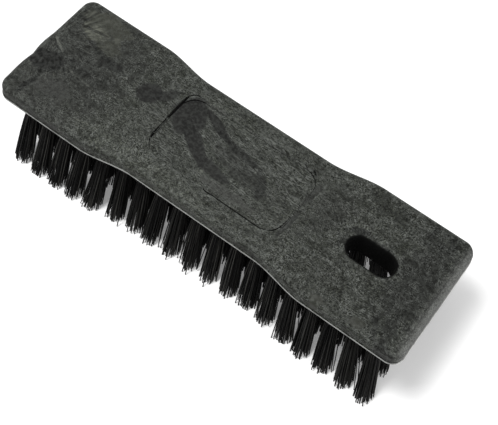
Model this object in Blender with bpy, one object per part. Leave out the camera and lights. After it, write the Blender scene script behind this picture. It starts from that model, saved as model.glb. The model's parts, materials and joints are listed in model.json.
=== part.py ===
# Hand scrub brush: a moulded waisted block with bristle tufts set in blind holes. Metres, +Z up.
# The origin is on the surface that the bristle tips stand on, under the middle of the block.
# +X runs along the block towards the end with the hang slot.
from math import copysign, cos, hypot, pi, radians, sin, tan

import bmesh
import bpy
from mathutils import Matrix, Vector

# Block, seen from above
block_length = 0.216
block_width = 0.066
waist_depth = 0.004
corner_radius = 0.0062
waist_length = 0.0656
shoulder_length = 0.028

# Block, seen from the end
block_thickness = 0.015
top_edge_radius = 0.0033
parting_depth = 0.0075
upper_draft = 0.0004
lower_taper = 0.0037
lower_edge_radius = 0.0005

# Recessed panel in the top
panel_length = 0.072
panel_width = 0.036
panel_corner_radius = 0.008
panel_depth = 0.0009

# Hang slot through the block
slot_length = 0.023
slot_width = 0.011
slot_end_distance = 0.0350
slot_rim_radius = 0.0018
slot_wall = 0.002

# Tufts and the blind holes that hold them
trim_length = 0.035
tuft_radius = 0.002
tuft_pitch = 0.0105
tuft_border = 0.0006
end_margin = 0.0135
side_margin = 0.0084
hole_depth = 0.010
strand_gap = 0.0004
tuft_spread = 0.0025
tip_cut = 0.0005
strands_in_tuft = 5
row_shares = (-1.0, -0.5, 0.0, 0.5, 1.0)
side_lean = radians(14.0)
end_lean = radians(8.0)

# Strips of the bored face, each carrying the tufts that cross it
strip_thickness = 0.0012
piece_gap = 0.0003

# How finely the curves are divided, and how far cuts run on
corner_steps = 6
shoulder_steps = 8
edge_steps = 3
slot_steps = 8
strip_end_steps = 4
hole_sides = 8
cutter_overrun = 0.002
rim_overrun_share = 1.5
weld_distance = 0.00001
level_angle = radians(8)
sharp_angle = radians(40)

# Colours
block_colour = (0.045, 0.046, 0.043)
bristle_colour = (0.008, 0.008, 0.008)

# Values that follow from the sizes above
half_length = block_length / 2
underside_height = trim_length
top_height = trim_length + block_thickness
wall_height = parting_depth - top_edge_radius
slot_x = half_length - slot_end_distance
slot_straight = slot_length - slot_width
hole_radius = tuft_radius + piece_gap
field_margin = side_margin - tuft_radius - tuft_border
tuft_span = block_length - 2 * end_margin
strip_count = round(tuft_span / tuft_pitch) + 1
strip_pitch = tuft_span / (strip_count - 1)


def remove_everything():
    for thing in list(bpy.data.objects):
        bpy.data.objects.remove(thing, do_unlink=True)


def collection(name):
    made = bpy.data.collections.new(name)
    bpy.context.scene.collection.children.link(made)
    return made


def material(name, colour, roughness):
    made = bpy.data.materials.new(name)
    made.use_nodes = True
    shader = made.node_tree.nodes["Principled BSDF"]
    shader.inputs["Base Color"].default_value = (*colour, 1.0)
    shader.inputs["Roughness"].default_value = roughness
    shader.inputs["Metallic"].default_value = 0.0
    made.diffuse_color = (*colour, 1.0)
    return made


def half_width_at(x):
    """Half the block's width at a place along it: drawn in at the waist, full at both ends."""
    share = (abs(x) - waist_length / 2) / shoulder_length
    share = min(max(share, 0.0), 1.0)
    ease = share * share * (3 - 2 * share)
    return block_width / 2 - waist_depth * (1 - ease)


def arc_points(centre_x, centre_y, radius, start, end, steps):
    angles = [start + (end - start) * step / steps for step in range(steps + 1)]
    return [(centre_x + radius * cos(angle), centre_y + radius * sin(angle)) for angle in angles]


def far_side_points(inset):
    """The waisted far side, from the shoulder at +X to the shoulder at -X."""
    start = waist_length / 2
    places = [start + shoulder_length * step / shoulder_steps for step in range(shoulder_steps + 1)]
    rising = [(x, half_width_at(x) - inset) for x in places]
    return list(reversed(rising)) + [(-x, y) for x, y in rising]


def across(points):
    """Far side points mirrored to the near side, in the order that goes on round the outline."""
    return [(x, -y) for x, y in reversed(points)]


def along(points):
    """Points of the +X end mirrored to the -X end, in the order that goes on round the outline."""
    return [(-x, y) for x, y in reversed(points)]


def waisted_outline(corner, inset):
    """An outline with a waist, from the points of its far corner at +X."""
    far_side = corner + far_side_points(inset) + along(corner)
    return far_side + across(far_side)


def rounded_rectangle(length, width, radius, centre_x=0.0, steps=corner_steps):
    corner = arc_points(length / 2 - radius, width / 2 - radius, radius, 0, pi / 2, steps)
    far_side = corner + along(corner)
    return [(centre_x + x, y) for x, y in far_side + across(far_side)]


def slab(name, outline, low, high, group):
    """A flat outline given its thickness, as a closed mesh."""
    curve = bpy.data.curves.new(name, "CURVE")
    curve.dimensions = "2D"
    curve.fill_mode = "BOTH"
    curve.extrude = (high - low) / 2
    spline = curve.splines.new("POLY")
    spline.points.add(len(outline) - 1)
    for point, (x, y) in zip(spline.points, outline):
        point.co = (x, y, 0, 1)
    spline.use_cyclic_u = True
    drawn = bpy.data.objects.new(name, curve)
    drawn.location.z = (low + high) / 2
    group.objects.link(drawn)
    bpy.context.view_layer.update()
    evaluated = drawn.evaluated_get(bpy.context.evaluated_depsgraph_get())
    mesh = bpy.data.meshes.new_from_object(evaluated)
    place = drawn.matrix_world.copy()
    bpy.data.objects.remove(drawn, do_unlink=True)
    mesh.name = name
    made = bpy.data.objects.new(name, mesh)
    made.matrix_world = place
    group.objects.link(made)
    shape = bmesh.new()
    shape.from_mesh(mesh)
    bmesh.ops.remove_doubles(shape, verts=shape.verts, dist=weld_distance)
    for upwards in (1, -1):
        cap = [face for face in shape.faces if face.normal.z * upwards > cos(level_angle)]
        bmesh.ops.dissolve_faces(shape, faces=cap)
    bmesh.ops.recalc_face_normals(shape, faces=shape.faces)
    shape.to_mesh(mesh)
    shape.free()
    return made


def cap_face(shape, upwards):
    level = [face for face in shape.faces if face.normal.z * upwards > cos(level_angle)]
    return max(level, key=lambda face: face.calc_area())


def draw_in(shape, face, inwards, outwards):
    """Insets a cap by one distance and moves it along its normal by another."""
    normal = face.normal.copy()
    bmesh.ops.inset_region(shape, faces=[face], thickness=inwards, use_even_offset=True)
    bmesh.ops.translate(shape, vec=normal * outwards, verts=face.verts)


def quarter_steps():
    """The angles at which each step of a rounded edge begins and ends."""
    return [(pi / 2 * step / edge_steps, pi / 2 * (step + 1) / edge_steps) for step in range(edge_steps)]


def round_off(shape, face, radius):
    for before, after in quarter_steps():
        draw_in(shape, face, radius * (cos(before) - cos(after)), radius * (sin(after) - sin(before)))


def fit_modifier(target, tool, operation):
    """Cuts a tool from its target, or joins it to the target, and hides the tool."""
    tool.hide_render = True
    tool.display_type = "WIRE"
    change = target.modifiers.new(tool.name, "BOOLEAN")
    change.operation = operation
    change.solver = "EXACT"
    change.object = tool


def object_of(shape, name, place, group):
    bmesh.ops.recalc_face_normals(shape, faces=shape.faces)
    mesh = bpy.data.meshes.new(name)
    shape.to_mesh(mesh)
    shape.free()
    made = bpy.data.objects.new(name, mesh)
    made.location = place
    group.objects.link(made)
    return made


def widen_slot(verts, grown):
    """Moves the slot's outline out from the centres of its round ends by a distance."""
    for vert in verts:
        end = slot_straight / 2 if vert.co.x > slot_x else -slot_straight / 2
        centre = Vector((slot_x + end, 0))
        out = (vert.co.xy - centre).normalized()
        vert.co.xy = centre + out * (slot_width / 2 + grown)


def make_slot_cutter(cutters):
    """A round-ended prism that flares at the top, so that it leaves a rounded rim."""
    outline = rounded_rectangle(slot_length, slot_width, slot_width / 2, slot_x, slot_steps)
    rim_start = top_height - slot_rim_radius
    cutter = slab("slot_cutter", outline, underside_height - cutter_overrun, rim_start, cutters)
    shape = bmesh.new()
    shape.from_mesh(cutter.data)
    face = cap_face(shape, 1)
    steps = quarter_steps()
    for before, after in steps:
        reach = rim_overrun_share if (before, after) == steps[-1] else 1.0
        rise = slot_rim_radius * (sin(after) - sin(before)) * reach
        grown = slot_rim_radius * (1 - cos(before) + (cos(before) - cos(after)) * reach)
        face = bmesh.ops.extrude_discrete_faces(shape, faces=[face])["faces"][0]
        bmesh.ops.translate(shape, vec=(0, 0, rise), verts=face.verts)
        widen_slot(face.verts, grown)
    shape.to_mesh(cutter.data)
    shape.free()
    return cutter


def strip_centre(number):
    return strip_pitch * number - tuft_span / 2


def beside_slot(number):
    """Whether a strip meets the wall that stands round the slot, and so has to stop on either side of it."""
    away = abs(strip_centre(number) - slot_x) - strip_pitch / 2
    return away + piece_gap / 2 < slot_length / 2 + slot_wall


def tufts_across(number):
    """The tufts of a strip: (x, y, direction) of each, one for every row.

    Beside the slot the middle row stops, and the rows next to it stay clear of the slot's wall.
    """
    x = strip_centre(number)
    lean_x = tan(end_lean * x / (tuft_span / 2))
    clear_of_wall = slot_width / 2 + slot_wall + piece_gap + tuft_border + tuft_radius
    tufts = []
    for share in row_shares:
        y = share * (half_width_at(x) - side_margin)
        if beside_slot(number):
            if share == 0:
                continue
            y = copysign(max(abs(y), clear_of_wall), y)
        direction = Vector((lean_x, tan(side_lean * share), -1)).normalized()
        tufts.append((x, y, direction))
    return tufts


def tuft_placement(x, y, direction):
    """Turns a tuft made along -Z to its hole's direction. Near and far tufts mirror each other."""
    facing = Matrix.Rotation(pi if y < 0 else 0.0, 4, "Z")
    tilt = Vector((0, 0, -1)).rotation_difference(direction).to_matrix().to_4x4()
    return Matrix.Translation((x, y, 0)) @ tilt @ facing


def make_hole_cutter(cutters):
    shape = bmesh.new()
    middle = Matrix.Translation((0, 0, (hole_depth - cutter_overrun) / 2))
    to_corners = hole_radius / cos(pi / hole_sides)
    for number in range(strip_count):
        for x, y, direction in tufts_across(number):
            bmesh.ops.create_cone(shape, cap_ends=True, segments=hole_sides, radius1=to_corners,
                                  radius2=to_corners, depth=hole_depth + cutter_overrun,
                                  matrix=tuft_placement(x, y, direction) @ middle)
    return object_of(shape, "hole_cutter", (0, 0, underside_height), cutters)


def make_bed_cutter(cutters):
    """The bed in the underside that the strips fill, with the wall round the slot left standing in it."""
    beside = [number for number in range(strip_count) if beside_slot(number)]
    low = underside_height - cutter_overrun
    high = underside_height + strip_thickness + piece_gap
    half_bed = tuft_span / 2 + strip_pitch / 2 + piece_gap / 2
    inset = field_margin - piece_gap
    corner = [(half_bed, half_width_at(half_bed) - inset)]
    bed = slab("bed_cutter", waisted_outline(corner, inset), low, high, cutters)
    edge = strip_pitch / 2 - piece_gap / 2
    half_wall = slot_width / 2 + slot_wall
    far_wall = [(strip_centre(beside[-1]) + edge, half_wall), (strip_centre(beside[0]) - edge, half_wall)]
    wall = far_wall + across(far_wall)
    kept = slab("slot_wall_keeper", wall, low - cutter_overrun, high + cutter_overrun, cutters)
    fit_modifier(bed, kept, "DIFFERENCE")
    return bed


def make_block(group, cutters, paint):
    """The block at its full outline, with its panel, its slot, its bed and a blind hole for every tuft."""
    parting_height = top_height - parting_depth
    corner = arc_points(half_length - corner_radius, block_width / 2 - corner_radius, corner_radius,
                        0, pi / 2, corner_steps)
    block = slab("block", waisted_outline(corner, 0), parting_height, parting_height + wall_height / 2, group)
    shape = bmesh.new()
    shape.from_mesh(block.data)
    draw_in(shape, cap_face(shape, 1), upper_draft, wall_height / 2)
    round_off(shape, cap_face(shape, 1), top_edge_radius)
    lower_height = block_thickness - parting_depth - lower_edge_radius
    draw_in(shape, cap_face(shape, -1), lower_taper, lower_height)
    round_off(shape, cap_face(shape, -1), lower_edge_radius)
    shape.to_mesh(block.data)
    shape.free()
    panel_outline = rounded_rectangle(panel_length, panel_width, panel_corner_radius)
    panel = slab("panel_cutter", panel_outline, top_height - panel_depth, top_height + cutter_overrun, cutters)
    for cutter in (panel, make_slot_cutter(cutters), make_bed_cutter(cutters), make_hole_cutter(cutters)):
        fit_modifier(block, cutter, "DIFFERENCE")
    block.data.shade_smooth()
    block.data.set_sharp_from_angle(angle=sharp_angle)
    block.data.materials.append(paint)


def make_tuft(direction):
    """One tuft along -Z: a packed root that reaches up its hole, and strands that spread downwards."""
    mouth = strip_thickness / 2
    root_length = hole_depth - piece_gap - mouth
    shape = bmesh.new()
    bmesh.ops.create_cone(shape, cap_ends=True, segments=strands_in_tuft, radius1=tuft_radius,
                          radius2=tuft_radius, depth=root_length)
    bmesh.ops.translate(shape, vec=(0, 0, mouth + root_length / 2), verts=shape.verts)
    roots = bmesh.ops.poke(shape, faces=[cap_face(shape, -1)])["faces"]
    bmesh.ops.inset_individual(shape, faces=roots, thickness=strand_gap / 2, use_even_offset=True)
    ends = bmesh.ops.extrude_discrete_faces(shape, faces=roots)["faces"]
    sideways = (tuft_radius + tuft_spread) * hypot(direction.x, direction.y)
    length = mouth + (trim_length + tip_cut + sideways) / -direction.z
    for end in ends:
        middle = end.calc_center_median()
        outwards = Vector((middle.x, middle.y, 0)).normalized()
        bmesh.ops.translate(shape, vec=outwards * tuft_spread - Vector((0, 0, length)), verts=end.verts)
    return shape


def trim(shape):
    """Cuts the strands flat on the plane that the brush stands on."""
    everything = shape.verts[:] + shape.edges[:] + shape.faces[:]
    floor = Vector((0, 0, -underside_height))
    bmesh.ops.bisect_plane(shape, geom=everything, plane_co=floor, plane_no=(0, 0, 1), clear_inner=True)
    bmesh.ops.holes_fill(shape, edges=[edge for edge in shape.edges if edge.is_boundary])


def join_tufts(strip, tufts, cutters):
    """Fuses a strip's tufts to it, each trimmed to the standing plane first."""
    joined = bmesh.new()
    for x, y, direction in tufts:
        tuft = make_tuft(direction)
        bmesh.ops.transform(tuft, matrix=tuft_placement(x, y, direction), verts=tuft.verts)
        trim(tuft)
        carrier = bpy.data.meshes.new("tuft")
        tuft.to_mesh(carrier)
        tuft.free()
        joined.from_mesh(carrier)
        bpy.data.meshes.remove(carrier)
    tool = object_of(joined, strip.name + "_tufts", (0, 0, underside_height), cutters)
    fit_modifier(strip, tool, "UNION")


def without_straight_runs(points):
    """Leaves out the points that lie on a straight line between their neighbours."""
    kept = [points[0]]
    for point, after in zip(points[1:], points[2:]):
        before = kept[-1]
        forward = Vector(point) - Vector(before)
        onward = Vector(after) - Vector(before)
        if abs(forward.cross(onward)) > weld_distance ** 2:
            kept.append(point)
    return kept + [points[-1]]


def far_end(number):
    """A strip's outer end on the far side, which follows the block's edge."""
    edge = strip_pitch / 2 - piece_gap / 2
    shares = [1 - 2 * step / strip_end_steps for step in range(strip_end_steps + 1)]
    places = [strip_centre(number) + edge * share for share in shares]
    return without_straight_runs([(x, half_width_at(x) - field_margin) for x in places])


def make_strip(name, outline, tufts, group, cutters, paint):
    strip = slab(name, outline, underside_height, underside_height + strip_thickness, group)
    join_tufts(strip, tufts, cutters)
    strip.data.materials.append(paint)


def make_strips(number, group, cutters, paint):
    """One strip from side to side, or a near and a far one where the slot's wall stands between them."""
    name = f"tuft_strip_{number + 1:02d}"
    outer = far_end(number)
    tufts = tufts_across(number)
    if not beside_slot(number):
        make_strip(name, outer + across(outer), tufts, group, cutters, paint)
        return
    inner = slot_width / 2 + slot_wall + piece_gap
    far = outer + [(outer[-1][0], inner), (outer[0][0], inner)]
    make_strip(name + "_far", far, [tuft for tuft in tufts if tuft[1] > 0], group, cutters, paint)
    make_strip(name + "_near", across(far), [tuft for tuft in tufts if tuft[1] < 0], group, cutters, paint)


def main():
    remove_everything()
    parts = collection("scrub_brush")
    cutters = collection("cutters")
    plastic = material("block_plastic", block_colour, roughness=0.5)
    filament = material("bristle_filament", bristle_colour, roughness=0.4)
    make_block(parts, cutters, plastic)
    for number in range(strip_count):
        make_strips(number, parts, cutters, filament)


main()
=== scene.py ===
# Scrub brush, dressed for display: the moulded block, its tufts of bristles and a plain pale stage.
# It is laid out as an add-on and run as a script. Sizes and places are in metres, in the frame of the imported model,
# but for the few tables in millimetres that are named below.
import json
from math import copysign, cos, pi, radians, sin, sqrt, tan
from random import Random

import bmesh
import bpy
from bpy.props import FloatProperty, FloatVectorProperty, IntProperty, PointerProperty
from mathutils import Matrix, Vector

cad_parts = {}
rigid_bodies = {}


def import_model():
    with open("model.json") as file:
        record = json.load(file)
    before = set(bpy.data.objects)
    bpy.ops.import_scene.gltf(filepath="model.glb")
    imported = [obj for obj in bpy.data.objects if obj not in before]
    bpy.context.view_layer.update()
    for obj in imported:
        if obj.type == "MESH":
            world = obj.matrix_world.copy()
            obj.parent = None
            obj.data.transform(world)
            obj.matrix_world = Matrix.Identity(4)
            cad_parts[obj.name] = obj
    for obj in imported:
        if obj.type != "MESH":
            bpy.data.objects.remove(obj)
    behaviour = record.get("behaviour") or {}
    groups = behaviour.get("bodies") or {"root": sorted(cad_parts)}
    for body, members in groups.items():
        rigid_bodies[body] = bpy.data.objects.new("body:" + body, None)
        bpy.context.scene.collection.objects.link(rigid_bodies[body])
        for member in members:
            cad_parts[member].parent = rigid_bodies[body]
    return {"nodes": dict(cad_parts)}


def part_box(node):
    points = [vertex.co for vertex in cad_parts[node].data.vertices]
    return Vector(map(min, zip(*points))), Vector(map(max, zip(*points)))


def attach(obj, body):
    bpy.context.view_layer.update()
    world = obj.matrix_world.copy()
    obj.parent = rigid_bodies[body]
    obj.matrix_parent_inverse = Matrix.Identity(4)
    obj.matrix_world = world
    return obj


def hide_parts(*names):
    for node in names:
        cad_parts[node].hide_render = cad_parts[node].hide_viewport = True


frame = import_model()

bl_info = {
    "name": "Scrub brush",
    "version": (1, 0, 0),
    "blender": (4, 5, 0),
    "location": "3D View > Sidebar > Scrub brush",
    "description": "Models a hand scrub brush with a waisted block and tufts of stiff bristles",
    "category": "Object",
}

block_low, block_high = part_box("block")
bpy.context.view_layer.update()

# The tables of sink marks, creases, marks and pushes are written in millimetres
mm = 0.001

# How finely things are divided, and small distances that only the modelling needs
corner_segments = 12
shoulder_segments = 14
round_segments = 8
small_segments = 4
slot_sides = 48
hole_sides = 20
lower_bands = 3
top_grid = 0.003
grab_share = 0.7
cutter_overrun = 0.002
slot_cut_share = 0.55
drill_point_share = 0.95
end_steps = 8
crease_steps = 5
square_limit = 0.1
end_inset = 1.2
same_place = 0.00002
nearly_same = same_place / 4
smooth_angle = radians(32)

# Unevenness of the foamed plastic: its ripple, and where its sink marks start and end, their shifts and reaches
sink_marks = (
    ((-107.7, -1.6, 48), (-107.7, 0.4, 48), (-0.5, 0, 0), 7),
    ((-107.7, -9, 48), (-107.7, -8.4, 48), (0.4, 0, 0), 5.2),
    ((-107.7, -18.5, 48), (-107.7, -16.5, 48), (-0.3, 0, 0), 8),
    ((-101, -11, 50), (-95, -7, 50), (0, 0, -0.4), 9),
    ((-52, 5, 50), (-48, 7, 50), (0, 0, -0.2), 10),
    ((94, -24, 50), (97, -20, 50), (0, 0, -0.15), 12),
    ((107, -26, 50), (107, 26, 50), (0, 0, -0.8), 8.5),
)
ripple_reach = 0.0009
ripple_size = 0.011
ripple_height = 0.00022

# Creases where the panel's outline drew in: the width and depth of each, then its points, each with its share of
# the width
creases = (
    (0.72, 1.6, (
        (-35.5, -13.5, 0.3), (-36.2, -10.5, 0.85), (-36.5, -8, 0.6), (-36.5, -3, 0.3), (-36.5, 1, 0.65),
        (-36.4, 6, 1), (-36.3, 12.5, 1), (-35.9, 15.8, 0.75), (-34.3, 18.1, 0.45), (-32.2, 18.9, 0.4),
        (-28.5, 18.9, 0.15))),
    (0.46, 2.1, (
        (-2.4, -16, 0.15), (-2.3, -17.4, 0.6), (-1.2, -18.3, 0.9), (4, -18.3, 0.7), (9.5, -18.4, 0.9),
        (15.5, -18.4, 1), (22, -18.4, 0.9), (26.7, -18.4, 0.85), (29.7, -17.8, 0.95), (32.1, -16.4, 0.95),
        (34, -13.8, 0.8), (35, -9.5, 0.6), (35.2, -4.7, 0.5), (35, 0.7, 0.45), (34.8, 6.1, 0.45),
        (34.2, 11.5, 0.2))),
    (0.28, 1, (
        (25.4, 19.4, 0.3), (26.8, 18.8, 1), (27.9, 18.1, 0.4))),
    (0.32, 1.2, (
        (31, 19, 0.3), (32.7, 17.4, 1), (34, 15.5, 0.3))),
)

# Where edges are worn, where painted highlights lie along the far rim, the parting line and the right end, and where
# painted shade darkens the slot and the creases: by the lean of the surface's normal, or by distance
worn_normal = 0.75
worn_width = 0.35
# Normals of the far rim that gets a painted highlight
rim_normal = 0.62
rim_side = 0.3
# Width and fade of the painted sheen across the right end's rounded edge, and its share at the corners
end_sheen_band = 0.0044
end_sheen_fade = 0.0036
end_sheen_corner_share = 0.15
# Slopes, depths and margins that bound the painted shade in the creases and the slot
steep_normal = 0.8
recess_margin = 0.002
crease_start = 0.0002
crease_fade = 0.0004
crease_limit = 0.004
level_margin = 0.0001
floor_margin = 0.00006
slot_shade_share = 0.20
seam_share = 0.6

# Two stretches of the panel's rim that stay clean: the far side up to an end, and the near side left of another end
clean_side = 0.0165
clean_far_end = 0.0285
clean_near_end = -0.004

# Rows of tufts across the block, and how each filament is drawn
row_shares = (-1.0, -0.5, 0.0, 0.5, 1.0)
filament_shares = (-0.05, 0.10, 0.32, 0.56, 0.80, 1.0)
golden_turn = 2.39996
fan_power = 0.58
stray_share = 0.06
stray_reach = (0.1, 0.50)
stray_limit = 0.0389
usual_reach = (0.86, 1.06)
turn_spread = 0.18
bow_limit = 0.0005
tip_thickness = 0.9
tuft_wobble = (0.014, 0.008)

# Marks of the top: their place, turn, half length, half width, tone, smoothness and raggedness. A tone of 1 is
# twice as bright.
marks = (
    # Round the gate at the left end
    (-90, 0, 0, 30, 42, -0.1, 0.5, 0.5),
    (-98.5, -8.8, 0.4, 8.2, 5.8, -1.25, 0.9, 0.4),
    (-96.7, -23.5, 1.45, 8, 1.4, -1.8, 0.5, 0.3),
    (-95, -12.7, 0.89, 6, 1.4, -1.9, 0.5, 0.3),
    (-90.3, -8.7, 0.15, 3, 0.9, -1.1, 0.3, 0.3),
    (-99.2, 1, -0.52, 6, 0.6, 2.6, 0, 0.3),
    (-97.5, 3, -0.4, 4.6, 0.4, -0.9, 0, 0.3),
    (-103.2, 3.7, 0, 1.1, 0.8, 2.2, 0, 0.3),
    (-105, -2, 1.45, 3.4, 1, 1.2, 0, 0.7),
    (-104.3, -14.3, 0, 0.9, 0.9, 1.9, 0, 0.3),
    (-103.4, 11.5, 1.3, 4.5, 1, 0.9, 0, 0.9),
    (-90, 23.5, 0.1, 12.5, 6.6, 0.8, 0.9, 0.7),
    (-85, 15, -0.15, 11, 5, 0.65, 0.8, 0.8),
    (-93, 17.5, 0.15, 8.5, 0.9, -1.7, 0.3, 0.4),
    (-84, 10, -0.25, 11, 1.3, -1.7, 0.3, 0.6),
    (-87, -3, -0.1, 13, 2.2, -0.8, 0.5, 0.6),
    (-80, -7.5, -0.1, 9, 0.6, 1.1, 0, 0.8),
    (-86.8, -19, 0.2, 10, 6.2, 0.55, 0.75, 0.8),
    (-80, -2, 0.1, 16, 6.5, -0.35, 0.3, 0.8),
    (-74, 7, 0.15, 7.5, 2.6, -0.5, 0.8, 0.5),
    (-51, 6.2, 0.5, 6.2, 5, -0.45, 1, 0.3),
    (-44, 10, 0.9, 6, 3, -0.6, 0.8, 0.4),
    (-58, 17, 0, 20, 4.5, -0.25, 0, 0.8),
    (-64, -24.4, 0.13, 8, 0.5, 0.95, 0, 0.5),
    (-52, -15, 0.05, 10, 3, 0.3, 0, 1),
    (-24, 20.5, 0.05, 11, 1.4, 0.6, 0, 0.9),
    (-5, 16.5, -0.08, 15, 3, 0.35, 0, 0.9),
    # On the panel: the smooth dark skin, and where its flow lines run out
    (-29.2, 8, 0.25, 7.8, 10, -0.35, 1, 0.12),
    (-20, -1, -0.62, 13, 3.6, -0.35, 1, 0.2),
    (-6, -7.8, -0.18, 10, 3, -0.2, 0.9, 0.4),
    (-16, 11.8, -0.42, 11, 2.2, -0.6, 0.9, 0.2),
    (-2, 7.2, -0.18, 16, 1.8, -0.9, 0.6, 0.35),
    (15, 1.4, -0.62, 6, 1.8, -0.75, 0.6, 0.3),
    (17.8, -4, -1.3, 4, 2, -0.6, 0.7, 0.3),
    (4, 0, -0.2, 18, 5, -0.15, 0.5, 0.7),
    (-24, 5.2, -0.6, 4.6, 0.5, 0.95, 0, 0.6),
    (-14.8, 0, 0, 1.4, 1, 1.3, 0, 0.6),
    (-7.8, -11.2, 0, 1.2, 1.4, 1.3, 0, 0.6),
    (-6, 1, -0.3, 8, 0.4, 0.95, 0, 0.3),
    (21.7, -2.2, -0.5, 4.6, 0.4, 1.1, 0, 0.3),
    (8, -13.5, -0.05, 15, 2.6, 0.95, 0.7, 0.7),
    # The panel's edge: a painted highlight inside, where its wall catches the light, and painted shadow outside
    (13, -17.2, 0, 17, 0.5, 0.6, 0, 0.1),
    (31.3, -14.8, 0.86, 3.2, 0.5, 0.65, 0, 0.1),
    (34, -4, 1.57, 8.5, 0.5, 0.5, 0, 0.1),
    (-5, 20, 0, 30, 0.6, 0.55, 0, 0.3),
    (36.8, 8.5, 1.5, 8, 1.8, -0.2, 0.6, 0.6),
    (26.6, 18.9, -0.4, 1.6, 0.5, -1.6, 0, 0.1),
    (36.6, -9, 1.5, 8, 1.4, -0.4, 0.7, 0.3),
    # Along the near side and at the right end
    (-30, -25.5, 0, 45, 6.2, 0.75, 0, 0.6),
    (19, -24.5, -0.6, 6, 0.8, 0.9, 0, 0.5),
    (40, -20, 0, 26, 9, 0.15, 0, 0.6),
    (48, 7, 1.4, 16, 8, -0.3, 0.3, 0.7),
    (95, 2, 1.55, 32, 11, -0.95, 0.4, 0.8),
    (80, 24.5, 0, 30, 7.5, -0.45, 0, 0.6),
    (101, -32.2, -0.1, 7, 1.6, -0.8, 0.6, 0.4),
    (65.6, -30.7, 0.2, 3, 2.2, 0.4, 0.9, 0.4),
    (84.9, -29, 0.2, 3.6, 2.2, 0.35, 0.9, 0.4),
    # Painted shade round the rim of the slot
    (63, 6.8, 0.4, 4, 1.8, -2.6, 0.5, 0.5),
    (75.2, 6.6, 0, 7, 0.9, -1.2, 0.3, 0.5),
    (59, -1, 1.4, 6, 1.4, -0.9, 0.3, 0.5),
)
mark_depth = 0.012
olive_smoothness = 0.75

# The swirls of the foam, the fan of flow lines from the gate, and where the foam flowed straight along the panel
swirl_settings = {"Wander": 0.012, "Heading": 0.0, "Stretch": (900, 1150, 1150)}
flow_settings = {"Wander": 0.004, "Heading": 0.12, "Stretch": (260, 1250, 1250)}
fan_settings = {"Place": (-0.1040, 0.0035, 0.050), "Reach": 0.030}
middle_settings = {"Place": (-0.002, 0.004, 0.050), "Size": (0.052, 0.027, 0.012), "Raggedness": 0.5}

# The fine lines in the foam: how near its middle the noise has to be, and for each kind how the noise is shifted and
# where the lines start to show and show in full
line_width = (0.066, 0.016)
line_sets = {"Pale": ((37, 11, 5), 0.32, 0.60), "Dark": ((3, 71, 29), 0.76, 0.42)}

# How strongly each effect changes the plastic's tone, in doublings of its brightness
grain_tone = 9.0
blotch_tone = 0.3
dark_line_tone = -0.85
flow_tone = 3.0
fan_tone = 8.5
slow_tone = 0.8
fine_tone = 0.4
darkest_tone = 0.12
palest_tone = 5.0

# Where the noise lets an effect through: where it starts and is full, and how strong it is at both
skin_patches = (0.62, 0.74, 0.0, 0.2)
wear_patches = (0.40, 0.62)
# The third breaks up the painted sheen at the right end, the fourth the parting line's scuffing and painted highlight
end_sheen_patches = (0.30, 0.70, 0.18, 0.46)
seam_patches = (0.30, 0.60, 0.5, 1.0)

# How much the panel's flow holds back the swirls, and shows on smooth skin and off it
middle_hold = 0.55
flow_on_skin = 0.15
flow_off_skin = 0.6

# How rough the plastic is off and on smooth skin, what mottling and the slot and creases under painted shade add, and
# how high each effect stands
skin_roughness = (0.52, 0.40)
fine_roughness = 0.12
recess_roughness = 0.40
grain_relief = 2.0
dark_line_relief = 0.5
fine_relief = 0.4
fan_relief = 0.2
flow_relief = 0.3

# How much of a second colour each effect mixes in, among them the far rim's painted highlight and the painted shade
# in the slot and creases, and how much brighter the parting line's painted highlight is across the right end's
# painted sheen
pale_line_share = 0.46
top_wear_share = 0.25
rim_highlight_share = 0.30
recess_shade_share = 0.97
end_seam_highlight = 1.6

# How the tufts were pushed over in use: the middle of each push along and across the block, its reach along and
# across, and how far it leans the tufts along and across
pushes = (
    (0, -24.6, 300, 10, 0.045, -0.018),
    (-60, -24.6, 90, 10, 0, -0.035),
    (-94.5, 0, 30, 60, 0.035, 0),
    (0, -12.3, 300, 8, 0, -0.07),
    (68, 18, 18, 14, -0.065, 0),
)

# Stage
floor_size = 6.0
floor_lift = 0.215
floor_dimming = 0.985
world_level = 0.48
lamp_target = (0.0, 0.0, 0.03)
lamps = (
    ("key_lamp", (-0.22, -0.24, 1.0), 0.30, 8.5),
    ("fill_lamp", (0.60, -0.10, 0.45), 0.30, 0.75),
)
camera_place = (0.11755, -0.19527, 0.42508)
camera_turn = (radians(28.325), radians(-4.206), radians(36.118))
camera_lens = 72.650
camera_sensor = 36.0
camera_near = 0.01


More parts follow.
